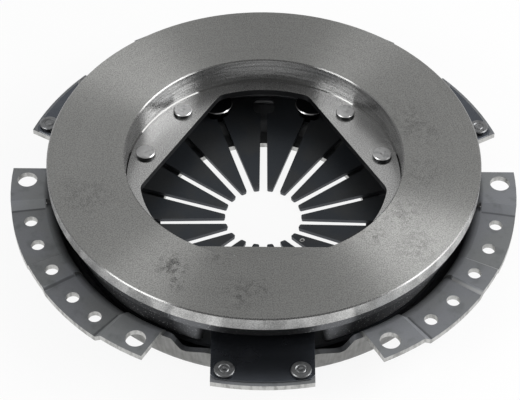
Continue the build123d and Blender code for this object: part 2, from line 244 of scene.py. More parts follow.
class Graph:
    """A node tree that is written as expressions."""

    def __init__(self, tree: bpy.types.NodeTree) -> None:
        """Starts an empty tree."""
        self.tree = tree
        self.tree.nodes.clear()

    def add(self, kind: str, settings: dict | None = None, sockets: dict | None = None) -> bpy.types.Node:
        """Adds a node.

        Args:
            kind: The node's type.
            settings: Its properties, which are set first.
            sockets: Values or links of its input sockets, by name or number.

        Returns:
            The node.
        """
        node = self.tree.nodes.new(kind)
        for key, value in (settings or {}).items():
            setattr(node, key, value)
        for key, value in (sockets or {}).items():
            if isinstance(value, (Term, Paint)):
                self.tree.links.new(value.socket, node.inputs[key])
            elif isinstance(value, bpy.types.NodeSocket):
                self.tree.links.new(value, node.inputs[key])
            else:
                node.inputs[key].default_value = value
        return node

    def colour(self, shade: tuple) -> Paint:
        """A plain colour to mix others over.

        Args:
            shade: Its linear channels and alpha.

        Returns:
            The colour.
        """
        node = self.add("ShaderNodeRGB")
        node.outputs[0].default_value = shade
        return Paint(self, node.outputs[0])

    def point(self, x: Term | float, y: Term | float, z: Term | float) -> bpy.types.NodeSocket:
        """A vector of three numbers."""
        return self.add("ShaderNodeCombineXYZ", None, {0: x, 1: y, 2: z}).outputs[0]

    def noise(self, where: bpy.types.NodeSocket, scale: float, detail: float) -> Term:
        """Smooth noise from 0 to 1: scale patches to a unit of length, with finer layers added."""
        node = self.add("ShaderNodeTexNoise", None, {"Vector": where, "Scale": scale, "Detail": detail})
        return Term(self, node.outputs["Fac"])

    def streaks(self, x: Term | float, y: Term | float, z: Term | float) -> Term:
        """Noise from 0 to 1 over three numbers, drawn out along those that change slowly."""
        return self.noise(self.point(x, y, z), scale=1.0, detail=3.0)

    def spots(self, where: bpy.types.NodeSocket, scale: float) -> Term:
        """Distance to the nearest of many scattered points."""
        node = self.add("ShaderNodeTexVoronoi", None, {"Vector": where, "Scale": scale})
        return Term(self, node.outputs["Distance"])

    def bump(self, height: Term, depth: float) -> bpy.types.NodeSocket:
        """Normal of a surface with a relief, depth metres deep at a height of one."""
        sockets = {"Height": height, "Distance": depth, "Strength": 1.0}
        return self.add("ShaderNodeBump", None, sockets).outputs[0]


class Place:
    """Where a point of the surface lies, in the frame's axes, and how it faces."""

    def __init__(self, graph: Graph) -> None:
        """Reads the place in the object's own coordinates, which are the frame's at rest.

        Args:
            graph: The material's node tree.
        """
        self.graph = graph
        source = graph.add("ShaderNodeTexCoord")
        self.point = source.outputs["Object"]
        self.x, self.y, self.z = self._parts(graph, self.point)
        facing_x, facing_y, self.facing_z = self._parts(graph, source.outputs["Normal"])
        self.radius = self._length(graph, self.x, self.y)
        self.angle = self.y.bearing(self.x)
        self.facing_out = (facing_x * self.x + facing_y * self.y) / self.radius

    def distance(self, x: float, y: float) -> Term:
        """How far the point lies from a line parallel to the axis.

        Args:
            x: Where the line is, along X.
            y: Where it is, along Y.

        Returns:
            The distance, square to the axis.
        """
        line = self.graph.point(x, y, self.z)
        node = self.graph.add("ShaderNodeVectorMath", {"operation": "DISTANCE"}, {0: self.point, 1: line})
        return Term(self.graph, node.outputs["Value"])

    def off_middle(self, middle: float) -> Term:
        """Angle from the nearest middle of three equal sectors, one of them round the given angle."""
        third = (self.angle - middle) / SECTION_TURN
        return abs(third - third.nearest()) * SECTION_TURN

    @staticmethod
    def _parts(graph: Graph, vector: bpy.types.NodeSocket) -> tuple[Term, Term, Term]:
        """The three numbers of a vector."""
        outputs = graph.add("ShaderNodeSeparateXYZ", None, {0: vector}).outputs
        return Term(graph, outputs[0]), Term(graph, outputs[1]), Term(graph, outputs[2])

    @staticmethod
    def _length(graph: Graph, x: Term, y: Term) -> Term:
        """Length of a flat vector."""
        node = graph.add("ShaderNodeVectorMath", {"operation": "LENGTH"}, {0: graph.point(x, y, 0.0)})
        return Term(graph, node.outputs["Value"])


# ---------------------------------------------------------------------------- finishes


@dataclass(frozen=True)
class Finish:
    """What every finish of the part has in common."""

    title: str

    def material(self) -> bpy.types.Material:
        """Writes the finish as a material.

        Returns:
            The material, with a node tree of its own.
        """
        material = bpy.data.materials.new(self.title)
        material.use_nodes = True
        graph = Graph(material.node_tree)
        surface = graph.add("ShaderNodeBsdfPrincipled", None, self.sockets(graph, Place(graph)))
        graph.add("ShaderNodeOutputMaterial", None, {"Surface": surface.outputs[0]})
        return material

    def sockets(self, graph: Graph, place: Place) -> dict:
        """Values and links of the shader's sockets, by the socket's name; each finish has its own."""
        raise NotImplementedError


@dataclass(frozen=True)
class Stain:
    """A faint smudge on the friction face: its middle, its reach and how dark it is."""

    x: float
    y: float
    radius: float
    strength: float


@dataclass(frozen=True)
class TurnedIron(Finish):
    """Cast iron: turned face, rim band and bore, a ground ledge painted lighter towards the back, rough
    cast elsewhere.
    """

    title: str = "turned_iron"
    anisotropy: float = 0.95
    face: tuple = srgb(160, 160, 158)
    band: tuple = srgb(184, 184, 183)
    bore: tuple = srgb(148, 148, 148)
    edge: tuple = srgb(152, 152, 151)
    fillet: tuple = srgb(108, 108, 107)
    ledge: tuple = srgb(192, 192, 191)
    shaded: tuple = srgb(22, 23, 25)
    cast: tuple = srgb(66, 67, 69)
    cast_grain: tuple = srgb(216, 217, 218)
    band_inner: float = 114 * MM
    band_foot: float = 13.1 * MM
    ledge_foot: float = 1.2 * MM
    ledge_level: float = 5.9 * MM
    # Span along Y over which the ledge's painted light comes in.
    ledge_light_span: tuple[float, float] = (-52 * MM, -30 * MM)
    seat_radius: float = 76.6 * MM
    opening_radius: float = 70 * MM
    ear_angle: float = math.radians(-90)
    notch_angle: float = math.radians(19)
    notch_reach: float = math.radians(7)
    stains: tuple[Stain, ...] = (
        Stain(-0.0459, -0.0805, 0.0125, 0.70),
        Stain(-0.0425, -0.0920, 0.0090, 0.40),
        Stain(-0.0126, -0.0992, 0.0160, 0.40),
        Stain(-0.0224, -0.0755, 0.0100, 0.26),
        Stain(-0.0007, -0.0932, 0.0100, 0.34),
        Stain(-0.0912, -0.0315, 0.0240, 0.26),
        Stain(0.0552, -0.0573, 0.0100, 0.52),
        Stain(0.0707, -0.0431, 0.0200, 0.32),
        Stain(0.0783, -0.0660, 0.0180, 0.32),
        Stain(0.0734, 0.0291, 0.0260, 0.22),
        Stain(0.0858, 0.0168, 0.0200, 0.22),
        Stain(0.0820, -0.0134, 0.0200, 0.22),
    )

    def sockets(self, graph: Graph, place: Place) -> dict:
        """Values and links of the shader's sockets.

        Args:
            graph: The material's node tree.
            place: Where the shaded point lies and how it faces.

        Returns:
            What each socket gets, by the socket's name.
        """
        above_band = place.z > self.band_foot
        inside = place.radius < self.seat_radius
        machined = above_band.most(inside * (place.z > self.ledge_foot))
        on_ledge = inside * (place.z < self.ledge_level)
        on_wall = abs(place.facing_z) < 0.5
        in_opening = on_wall * (place.radius < self.opening_radius)
        machined = machined * (1 - in_opening)
        on_bore = on_wall * inside * (1 - on_ledge)
        on_band = on_wall * (place.radius > self.band_inner)

        lines = graph.streaks(place.radius * 1400, place.z * 1400, place.angle * 1.2)
        grain = graph.noise(place.point, scale=1700.0, detail=1.0).rise(0.3, 0.7)
        smear = graph.noise(place.point, scale=300.0, detail=4.0)
        cloud = graph.noise(place.point, scale=26.0, detail=3.0)
        hair = abs(graph.noise(place.point, scale=330.0, detail=3.0) - 0.5).rise(0.022, 0.006)
        grooves = graph.streaks(place.angle * 3, place.z * 700, 0.0)
        chatter = graph.streaks(place.angle * 9, place.z * 40, 0.0)
        tone = 0.67 + grain * 0.52 + lines.rise(0.35, 0.65) * 0.04 + cloud * 0.14 + smear * 0.06
        tone = tone + on_bore * ((grooves.rise(0.35, 0.65) - 0.6) * 0.5 + (0.5 - grain) * 0.36)
        tone = tone + on_band * (chatter.rise(0.35, 0.65) - 0.4) * 0.45
        patch = smear.rise(0.46, 0.60) * 0.7 + hair * 0.6
        for stain in self.stains:
            near = place.distance(stain.x, stain.y).rise(stain.radius, 0.0)
            tone = tone - near * patch * stain.strength

        on_edge = (abs(place.facing_z) > 0.5) * (abs(place.facing_z) < 0.9) * machined
        metal = graph.colour(self.face).over(self.band, on_band).over(self.bore, on_bore)
        # Painted light: the ledge takes a lighter colour from its front towards the back.
        ledge_light = on_ledge * place.y.rise(*self.ledge_light_span)
        metal = metal.over(self.ledge, ledge_light)
        metal = metal.lit(tone).over(self.edge, on_edge).over(self.fillet, on_edge * on_ledge)

        pits = graph.noise(place.point, scale=650.0, detail=4.0)
        specks = graph.spots(place.point, 900.0).rise(0.28, 0.1)
        off_ear = place.off_middle(self.ear_angle)
        # Painted light and shade on the rough cast: lighter by the cover's notches, darker by the ears,
        # which shade it.
        notch_light = abs(off_ear - self.notch_angle).rise(self.notch_reach, self.notch_reach * 0.5)
        ear_shade = off_ear.rise(self.notch_reach * 2, self.notch_reach)
        specks = specks * pits.rise(0.38, 0.58) * (1 - notch_light * 0.8)
        rough_cast = graph.colour(self.cast).over(self.cast_grain, specks)
        # The opening's walls are painted near black: painted shade.
        rough_cast = rough_cast.lit(1 + notch_light * 2.2 - ear_shade * 0.75).over(self.shaded, in_opening)

        wall_lines = on_wall * (lines - 0.5) * 0.5
        relief = wall_lines * machined + pits * (1 - machined) * 3
        roughness = 0.38 + grain * 0.06 - on_bore * 0.13 - on_edge * 0.14
        roughness = roughness - on_band * 0.10 - ledge_light * 0.20
        return {
            "Base Color": rough_cast.over(metal, machined),
            "Metallic": 0.65 + machined * 0.35,
            "Roughness": roughness * machined + (1 - machined) * 0.44,
            "Anisotropic": self.anisotropy,
            "Anisotropic Rotation": 0.25,
            "Normal": graph.bump(relief, 0.06 * MM),
        }


@dataclass(frozen=True)
class PhosphatedSheet(Finish):
    """Pressed sheet steel under a thin grey coat, with bare sheared edges."""

    title: str = "phosphated_sheet"
    coat: tuple = srgb(124, 126, 127)
    cool_coat: tuple = srgb(125, 127, 131)
    dark_coat: tuple = srgb(102, 105, 106)
    wall_sheen: tuple = srgb(144, 144, 142)
    sheared: tuple = srgb(196, 196, 194)
    torn: tuple = srgb(154, 154, 152)
    crease_shade: tuple = srgb(62, 63, 65)
    rubbed_and_glint: tuple = srgb(190, 190, 188)
    wall_end_radius: float = 117.5 * MM
    hole_radius: float = 57 * MM
    flange_underside: float = -3.2 * MM
    sector_middle: float = math.radians(90)
    crease_angles: tuple[float, float] = (math.radians(4.1), math.radians(21.2))
    crease_width: float = math.radians(0.42)
    glint_x: tuple[float, float] = (84 * MM, 96 * MM)
    glint_y: tuple[float, float] = (-30 * MM, -60 * MM)
    pad_level: float = -1 * MM
    pan_level: float = -8 * MM

    def sockets(self, graph: Graph, place: Place) -> dict:
        """Values and links of the shader's sockets.

        Args:
            graph: The material's node tree.
            place: Where the shaded point lies and how it faces.

        Returns:
            What each socket gets, by the socket's name.
        """
        steep = abs(place.facing_z) < 0.4
        beyond_wall = (place.radius > self.wall_end_radius).most(place.radius < self.hole_radius)
        cut = steep * beyond_wall.most(abs(place.facing_out) < 0.6)
        cloud = graph.noise(place.point, scale=26.0, detail=3.0)
        mottle = graph.noise(place.point, scale=160.0, detail=4.0)
        grain = graph.noise(place.point, scale=1300.0, detail=2.0)
        coat = graph.colour(self.coat).over(self.cool_coat, cloud.rise(0.42, 0.62))
        on_flange = (place.radius > self.wall_end_radius) * (place.facing_z > 0.5)
        slope = on_flange * place.facing_z.rise(0.995, 0.97)
        on_pad = on_flange * (place.z > self.pad_level) * (1 - slope)
        pan_shade = (place.z < self.pan_level) * (place.facing_z > -0.3) * (place.facing_out < 0.5)
        # Painted light and shade: the joggles' slopes are painted lighter and the inside of the pan darker.
        tone = 0.88 + grain * 0.24 + slope * 0.5 + on_pad * 0.12 - pan_shade * 0.5
        coat = coat.over(self.dark_coat, mottle.rise(0.5, 0.75) * 0.6).lit(tone)
        streaks = graph.streaks(place.x * 420, place.y * 420, place.z * 160)
        edge = graph.colour(self.sheared).over(self.torn, streaks.rise(0.4, 0.7))
        # Painted shade along the joggles' creases, with a painted highlight on those at the front right.
        glint = place.x.rise(*self.glint_x) * place.y.rise(*self.glint_y)
        crease = graph.colour(self.crease_shade).over(self.rubbed_and_glint, glint)
        coat = coat.over(crease, self._creases(graph, place) * on_flange * 0.6)
        # The drawn wall's outer side is painted lighter, a painted sheen, with real drawing lines and
        # mottle on it.
        drawn = (place.facing_out > 0.6) * (1 - cut) * (place.z < self.flange_underside)
        draw_lines = graph.streaks(place.angle * 55, place.z * 60, 0.0)
        sheen = 0.52 + mottle.rise(0.3, 0.6) * 0.18 + draw_lines.rise(0.3, 0.7) * 0.26 + grain * 0.15
        shine = graph.colour(self.wall_sheen).lit(sheen)
        return {
            "Base Color": coat.over(shine, drawn).over(edge, cut),
            "Metallic": 0.48 + cut * 0.47,
            "Roughness": 0.48 + grain * 0.10 - cut * 0.10,
            "Normal": graph.bump(grain * 0.5 + mottle, 0.02 * MM),
        }

    def _creases(self, graph: Graph, place: Place) -> Term:
        """Lines of painted shade along the feet of the flange's joggles.

        Args:
            graph: The material's node tree.
            place: Where the shaded point lies.

        Returns:
            One on a line and zero off it.
        """
        off_middle = place.off_middle(self.sector_middle)
        wander = graph.noise(place.point, scale=60.0, detail=2.0) - 0.5
        lines = None
        for angle in self.crease_angles:
            away = abs(off_middle - angle + wander * self.crease_width)
            line = away.rise(self.crease_width, self.crease_width * 0.2)
            lines = line if lines is None else lines.most(line)
        return lines


@dataclass(frozen=True)
class TemperedSpring(Finish):
    """Blue-black tempered spring steel with paler cut edges, worn tips and a punch mark."""

    title: str = "tempered_spring"
    skin: tuple = srgb(66, 70, 75)
    warm_skin: tuple = srgb(72, 74, 76)
    blanked: tuple = srgb(80, 82, 86)
    worn: tuple = srgb(108, 110, 114)
    punch_lip: tuple = srgb(214, 214, 212)
    punch_pit: tuple = srgb(30, 32, 35)
    punch: tuple[float, float] = (21.1 * MM, -18.4 * MM)
    punch_radius: float = 1.5 * MM
    tip_radius: float = 21 * MM
    worn_width: float = 3 * MM

    def sockets(self, graph: Graph, place: Place) -> dict:
        """Values and links of the shader's sockets.

        Args:
            graph: The material's node tree.
            place: Where the shaded point lies and how it faces.

        Returns:
            What each socket gets, by the socket's name.
        """
        cut = abs(place.facing_z) < 0.6
        cloud = graph.noise(place.point, scale=40.0, detail=3.0)
        along = graph.streaks(place.radius * 120, place.angle * 60, place.z * 120)
        grain = graph.noise(place.point, scale=1400.0, detail=2.0)
        wear = place.radius.rise(self.tip_radius + self.worn_width, self.tip_radius) * 0.5
        skin = graph.colour(self.skin).over(self.warm_skin, cloud.rise(0.4, 0.6))
        skin = skin.over(self.worn, wear * along.rise(0.3, 0.6)).lit(0.8 + grain * 0.3 + along * 0.1)
        off_punch = place.distance(*self.punch)
        lip = off_punch.rise(self.punch_radius, self.punch_radius * 0.8)
        pit = off_punch.rise(self.punch_radius * 0.6, self.punch_radius * 0.4)
        skin = skin.over(self.punch_lip, lip).over(self.punch_pit, pit)
        return {
            "Base Color": skin.over(self.blanked, cut * 0.8),
            "Metallic": 0.8,
            "Roughness": 0.34 + grain * 0.12,
            "Normal": graph.bump(grain + along - pit * 8, 0.015 * MM),
        }


@dataclass(frozen=True)
class BluedStrip(Finish):
    """Blued glossy spring strip with a bare edge."""

    title: str = "blued_strip"
    skin: tuple = srgb(96, 100, 107)
    rubbed_and_glint: tuple = srgb(120, 124, 130)
    bare: tuple = srgb(150, 151, 152)

    def sockets(self, graph: Graph, place: Place) -> dict:
        """Values and links of the shader's sockets.

        Args:
            graph: The material's node tree.
            place: Where the shaded point lies and how it faces.

        Returns:
            What each socket gets, by the socket's name.
        """
        cut = abs(place.facing_z) < 0.5
        cloud = graph.noise(place.point, scale=70.0, detail=4.0)
        scratches = graph.streaks(place.x * 260, place.y * 50, place.z * 50)
        grain = graph.noise(place.point, scale=1500.0, detail=2.0)
        skin = graph.colour(self.skin).over(self.rubbed_and_glint, cloud.rise(0.55, 0.8) * 0.35)
        skin = skin.over(self.rubbed_and_glint, scratches.rise(0.66, 0.72) * 0.3).lit(0.85 + grain * 0.3)
        return {
            "Base Color": skin.over(self.bare, cut * 0.7),
            "Metallic": 0.95,
            "Roughness": 0.20 + cloud * 0.12,
            "Normal": graph.bump(grain, 0.008 * MM),
        }


@dataclass(frozen=True)
class RivetSteel(Finish):
    """Upset rivet steel with patches of scale, a painted highlight on the rim, and painted shade at the
    root and on the front plate rivets.
    """

    title: str = "rivet_steel"
    skin: tuple = srgb(204, 204, 204)
    scale: tuple = srgb(164, 165, 166)
    rim_highlight: tuple = srgb(226, 226, 226)
    root_shade: tuple = srgb(58, 59, 60)
    dull: tuple = srgb(134, 134, 133)
    front_shade_radius: float = 75 * MM
    front_shade_y: tuple[float, float] = (-45 * MM, -55 * MM)
    gloss: float = 0.34
    outer_rim_highlight: float = 1.0

    def sockets(self, graph: Graph, place: Place) -> dict:
        """Values and links of the shader's sockets.

        Args:
            graph: The material's node tree.
            place: Where the shaded point lies and how it faces.

        Returns:
            What each socket gets, by the socket's name.
        """
        blotch = graph.noise(place.point, scale=420.0, detail=3.0)
        grain = graph.noise(place.point, scale=1800.0, detail=2.0)
        skin = graph.colour(self.skin).over(self.scale, blotch.rise(0.48, 0.68) * 0.7)
        flatness = abs(place.facing_z)
        # Painted highlight on the head's rim, which can be kept mostly to the side facing the axis.
        on_rim = flatness.rise(0.25, 0.4) * flatness.rise(0.97, 0.9)
        on_rim = on_rim * (1 - place.facing_out.rise(-0.3, 0.1) * (1 - self.outer_rim_highlight))
        # Painted shade: the heads of the front plate rivets are painted duller.
        skin = skin.over(self.dull, place.y.rise(*self.front_shade_y) * (place.radius < self.front_shade_radius))
        skin = skin.lit(0.86 + grain * 0.28).over(self.rim_highlight, on_rim)
        return {
            # Painted shade on the sides and root of the head.
            "Base Color": skin.over(self.root_shade, flatness.rise(0.25, 0.1)),
            "Metallic": 0.95,
            "Roughness": self.gloss + blotch * 0.1,
            "Normal": graph.bump(blotch + grain * 0.4, 0.03 * MM),
        }


@dataclass(frozen=True)
class DrawnWire(Finish):
    """Drawn wire with lines along its length."""

    title: str = "drawn_wire"
    skin: tuple = srgb(112, 113, 115)
    dark: tuple = srgb(62, 63, 65)

    def sockets(self, graph: Graph, place: Place) -> dict:
        """Values and links of the shader's sockets.

        Args:
            graph: The material's node tree.
            place: Where the shaded point lies and how it faces.

        Returns:
            What each socket gets, by the socket's name.
        """
        lines = graph.streaks(place.radius * 2500, place.angle * 3, place.z * 2500)
        patches = graph.noise(place.point, scale=90.0, detail=3.0)
        skin = graph.colour(self.skin).over(self.dark, patches.rise(0.4, 0.7))
        return {
            "Base Color": skin.lit(0.8 + lines * 0.4),
            "Metallic": 0.95,
            "Roughness": 0.34 + lines * 0.1,
            "Normal": graph.bump(lines, 0.02 * MM),
        }


# --------------------------------------------------------------------- modelled springs


def mesh_object(name: str, build: bmesh.types.BMesh, finish: bpy.types.Material) -> bpy.types.Object:
    """Turns a bmesh into an object with a finish.

    Args:
        name: The piece's name.
        build: Its mesh, which is freed.
        finish: Its material.

    Returns:
        The object, linked to the scene.
    """
    mesh = bpy.data.meshes.new(name)
    build.to_mesh(mesh)
    build.free()
    mesh.polygons.foreach_set("use_smooth", [True] * len(mesh.polygons))
    mesh.materials.append(finish)
    piece = bpy.data.objects.new(name, mesh)
    bpy.context.scene.collection.objects.link(piece)
    return piece


def thicken(piece: bpy.types.Object, thickness: float, edge: float) -> None:
    """Gives a sheet its thickness and rounds its edges.

    Args:
        piece: The sheet, modelled by its middle surface.
        thickness: Distance between its two faces.
        edge: Width of the rounding.
    """
    solid = piece.modifiers.new("thickness", "SOLIDIFY")
    solid.thickness = thickness
    solid.offset = 0.0
    solid.use_even_offset = True
    bevel = piece.modifiers.new("edge", "BEVEL")
    bevel.width = edge
    bevel.segments = 2
    bevel.limit_method = "ANGLE"
    bevel.angle_limit = math.radians(40)
    bevel.harden_normals = True


def add_grid(build: bmesh.types.BMesh, rows: list[list[Vector]]) -> None:
    """Adds faces between neighbouring rows of points.

    Args:
        build: The mesh that gets them.
        rows: The rows, all of one length.
    """
    made = [[build.verts.new(point) for point in row] for row in rows]
    for lower, upper in zip(made, made[1:]):
        for i in range(len(lower) - 1):
            build.faces.new((lower[i], lower[i + 1], upper[i + 1], upper[i]))


@dataclass
class DiaphragmSpring:
    """Coned disc with eighteen fingers, which flattens as the plate travels."""

    finish: Finish
    fingers: int = 18
    tip_radius: float = 21 * MM
    tip_level: float = -27.3 * MM
    slope: float = 0.163
    thickness: float = 2.1 * MM
    slot_half_at_tip: float = 2.15 * MM
    slot_half_at_window: float = 1.75 * MM
    tip_chamfer: float = 0.5 * MM
    window_middle: float = 78.5 * MM
    window_half_length: float = 5.5 * MM
    window_half_width: float = 6.0 * MM
    window_corner: float = 3.5 * MM
    mark_radius: float = 28 * MM
    mark_angle: float = math.radians(-41)
    mark_size: float = 1.0 * MM
    mark_depth: float = 0.6 * MM
    edge: float = 0.25 * MM
    fulcrum_radius: float = 85 * MM
    across: int = 12
    steps_along: int = 26
    steps_round_corner: int = 6
    steps_on_rim: int = 8
    row_gap: float = 0.01 * MM
    weld: float = 0.005 * MM
    rim_radius: float = field(init=False)

    def __post_init__(self) -> None:
        """Takes the rim's radius from the frame."""
        self.rim_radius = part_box("diaphragm_spring")[1].x

    def _gap_half(self, radius: float) -> float:
        """Half width of the slot or window.

        Args:
            radius: Where it is measured.

        Returns:
            The half width.
        """
        from_middle = abs(radius - self.window_middle)
        if radius <= self.tip_radius + self.tip_chamfer:
            return self.slot_half_at_tip + self.tip_radius + self.tip_chamfer - radius
        if from_middle <= self.window_half_length:
            corner_start = self.window_half_length - self.window_corner
            along = max(from_middle - corner_start, 0.0)
            arc = math.sqrt(max(self.window_corner**2 - along**2, 0.0))
            return self.window_half_width - self.window_corner + arc
        share = (radius - self.tip_radius) / (self.window_middle - self.tip_radius)
        return self.slot_half_at_tip + share * (self.slot_half_at_window - self.slot_half_at_tip)

    def _finger_radii(self) -> list[float]:
        """Radii of the rows of a finger.

        Returns:
            The radii from the tip to the window's outer side.
        """
        inner = self.window_middle - self.window_half_length
        outer = self.window_middle + self.window_half_length
        first = self.tip_radius + self.tip_chamfer
        rows = [self.tip_radius, first]
        rows += [first + (inner - first) * i / self.steps_along for i in range(1, self.steps_along)]
        rows += [inner - self.row_gap, inner]
        turns = [math.radians(90 * i / self.steps_round_corner) for i in range(self.steps_round_corner + 1)]
        rows += [inner + self.window_corner * (1 - math.cos(turned)) for turned in turns[1:]]
        rows += [outer - self.window_corner * (1 - math.sin(turned)) for turned in turns]
        return rows

    def _at(self, radius: float, angle: float) -> Vector:
        """Point of the middle surface.

        Args:
            radius: Its distance from the axis.
            angle: Its angle round the axis.

        Returns:
            The point, with the punch mark's dimple.
        """
        half = self.thickness / 2
        tilt = math.atan(self.slope)
        level = self.tip_level + self.slope * (radius - self.tip_radius) - half / math.cos(tilt)
        from_mark = (
            Vector((radius * math.cos(angle), radius * math.sin(angle)))
            - Vector((math.cos(self.mark_angle), math.sin(self.mark_angle))) * self.mark_radius
        ).length
        level -= self.mark_depth * max(0.0, 1 - from_mark / self.mark_size)
        return Vector((radius * math.cos(angle), radius * math.sin(angle), level))

    def _finger_rows(self, middle: float) -> list[list[Vector]]:
        """Rows of a finger and of the bridge between two windows.

        Args:
            middle: Angle of the finger's middle line.

        Returns:
            The rows of points, from the tip outwards.
        """
        half_pitch = math.pi / self.fingers
        rows = []
        for radius in self._finger_radii():
            half = half_pitch - math.asin(self._gap_half(radius) / radius)
            shares = [2 * i / self.across - 1 for i in range(self.across + 1)]
            rows.append([self._at(radius, middle + half * share) for share in shares])
        return rows

    def _rim_rows(self, middle: float) -> list[list[Vector]]:
        """Rows of the unslotted rim over one finger.

        Args:
            middle: Angle of the finger's middle line.

        Returns:
            The rows of points, from the windows outwards.
        """
        half_pitch = math.pi / self.fingers
        start = self.window_middle + self.window_half_length
        half = half_pitch - math.asin((self.window_half_width - self.window_corner) / start)
        shares = [2 * i / self.across - 1 for i in range(self.across + 1)]
        angles = [-half_pitch, *(half * share for share in shares), half_pitch]
        depth = self.rim_radius - start
        radii = [start + depth * i / self.steps_on_rim for i in range(self.steps_on_rim + 1)]
        return [[self._at(radius, middle + angle) for angle in angles] for radius in radii]

    def build(self) -> bpy.types.Object:
        """Models the spring.

        Returns:
            The piece that stands for the frame's diaphragm spring.
        """
        build = bmesh.new()
        for number in range(self.fingers):
            middle = 2 * math.pi * number / self.fingers
            add_grid(build, self._finger_rows(middle))
            add_grid(build, self._rim_rows(middle))
        bmesh.ops.remove_doubles(build, verts=build.verts, dist=self.weld)
        bmesh.ops.recalc_face_normals(build, faces=build.faces)
        piece = mesh_object("diaphragm_spring_plate", build, self.finish.material())
        thicken(piece, self.thickness, self.edge)
        anchor = self._at(self.fulcrum_radius, 0.0)
        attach(piece, Body.COVER.value)
        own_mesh(piece)
        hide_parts("diaphragm_spring")
        return piece


@dataclass
class LeafSpring:
    """Flat spring from an ear of the cover to the casting's ledge."""

    number: int
    finish: bpy.types.Material
    inner_end: float = 55 * MM
    lift_start: float = 70.5 * MM
    lift_end: float = 117 * MM
    outer_radius: float = 133.5 * MM
    inner_level: float = 1.2 * MM
    outer_level: float = -4.8 * MM
    half_width: float = 26 * MM
    chamfer: float = 2.3 * MM
    slot_start: float = 76 * MM
    slot_end: float = 104 * MM
    slot_half_width: float = 6 * MM
    thickness: float = 1.0 * MM
    bend_run: float = 1.6 * MM
    edge: float = 0.15 * MM
    plain_rows: tuple[float, ...] = (62 * MM, 88 * MM, 94 * MM, 110 * MM, 123 * MM)
    steps_across: int = 6
    steps_round_end: int = 6
    steps_round_bend: int = 2
    weld: float = 0.002 * MM

    @property
    def angle(self) -> float:
        """Angle of the ear that holds this spring."""
        return FIRST_EAR_ANGLE + (self.number - 1) * SECTION_TURN

    def _level(self, radial: float) -> float:
        """Height of the middle surface, with both bends rounded.

        Args:
            radial: Distance from the axis along the spring.

        Returns:
            The height.
        """
        fall = (self.outer_level - self.inner_level) / (self.lift_end - self.lift_start)

        def ramp(run: float) -> float:
            """Straight ramp from zero with a rounded start."""
            rounded = max(run + self.bend_run, 0.0) ** 2 / (4 * self.bend_run)
            return run if run >= self.bend_run else rounded

        return self.inner_level + fall * (ramp(radial - self.lift_start) - ramp(radial - self.lift_end))

    def _slot_half(self, radial: float) -> float:
        """Half width of the slot, which has round ends.

        Args:
            radial: Distance from the axis along the spring.

        Returns:
            The half width, or zero beyond the slot.
        """
        from_end = min(radial - self.slot_start, self.slot_end - radial)
        if from_end <= 0:
            return 0.0
        if from_end >= self.slot_half_width:
            return self.slot_half_width
        return math.sqrt(self.slot_half_width**2 - (self.slot_half_width - from_end) ** 2)

    def _radials(self) -> list[float]:
        """Radial distances of the straight rows.

        Returns:
            The distances, from the inner end outwards.
        """
        found = [self.inner_end, *self.plain_rows]
        for i in range(self.steps_round_end + 1):
            turned = math.radians(90 * i / self.steps_round_end)
            reach = self.slot_half_width * (1 - math.cos(turned))
            found += [self.slot_start + reach, self.slot_end - reach]
        for step in range(-self.steps_round_bend, self.steps_round_bend + 1):
            away = self.bend_run * step / self.steps_round_bend
            found += [self.lift_start + away, self.lift_end + away]
        return sorted({round(radial, 7) for radial in found})

    def _end(self, lateral: float) -> float:
        """Where the outer end is.

        Args:
            lateral: Sideways offset from the spring's middle line.

        Returns:
            The end's radial distance there.
        """
        arc = math.sqrt(self.outer_radius**2 - lateral**2)
        past_corner = max(abs(lateral) - (self.half_width - self.chamfer), 0.0)
        return arc - past_corner

    def _rows(self, side: int) -> list[list[Vector]]:
        """Rows of one arm, from the slot to the outer edge.

        Args:
            side: The arm: 1 towards positive offsets, -1 towards negative ones.

        Returns:
            The rows of points, from the inner end outwards.
        """
        corner = 1 - self.chamfer / self.half_width
        shares = [corner * i / self.steps_across for i in range(self.steps_across + 1)] + [1.0]
        rows = []
        for radial in self._radials():
            start = self._slot_half(radial)
            laterals = [start + (self.half_width - start) * share for share in shares]
            rows.append([Vector((radial, side * y, self._level(radial))) for y in laterals])
        laterals = [self.half_width * share for share in shares]
        last = self._radials()[-1]
        for part in (0.5, 1.0):
            row = []
            for y in laterals:
                radial = last + part * (self._end(y) - last)
                row.append(Vector((radial, side * y, self._level(radial))))
            rows.append(row)
        return rows

    def build(self) -> bpy.types.Object:
        """Models the spring.

        Returns:
            The piece that stands for one of the frame's leaf springs.
        """
        build = bmesh.new()
        for side in (-1, 1):
            add_grid(build, self._rows(side))
        bmesh.ops.remove_doubles(build, verts=build.verts, dist=self.weld)
        bmesh.ops.recalc_face_normals(build, faces=build.faces)
        turn = Euler((0, 0, self.angle)).to_matrix()
        bmesh.ops.transform(build, matrix=turn.to_4x4(), verts=build.verts)
        piece = mesh_object(f"leaf_spring_strip_{self.number}", build, self.finish)
        thicken(piece, self.thickness, self.edge)
        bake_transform(piece)
        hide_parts(f"leaf_spring_{self.number}")
        return piece


# ------------------------------------------------------------------------ rigid pieces


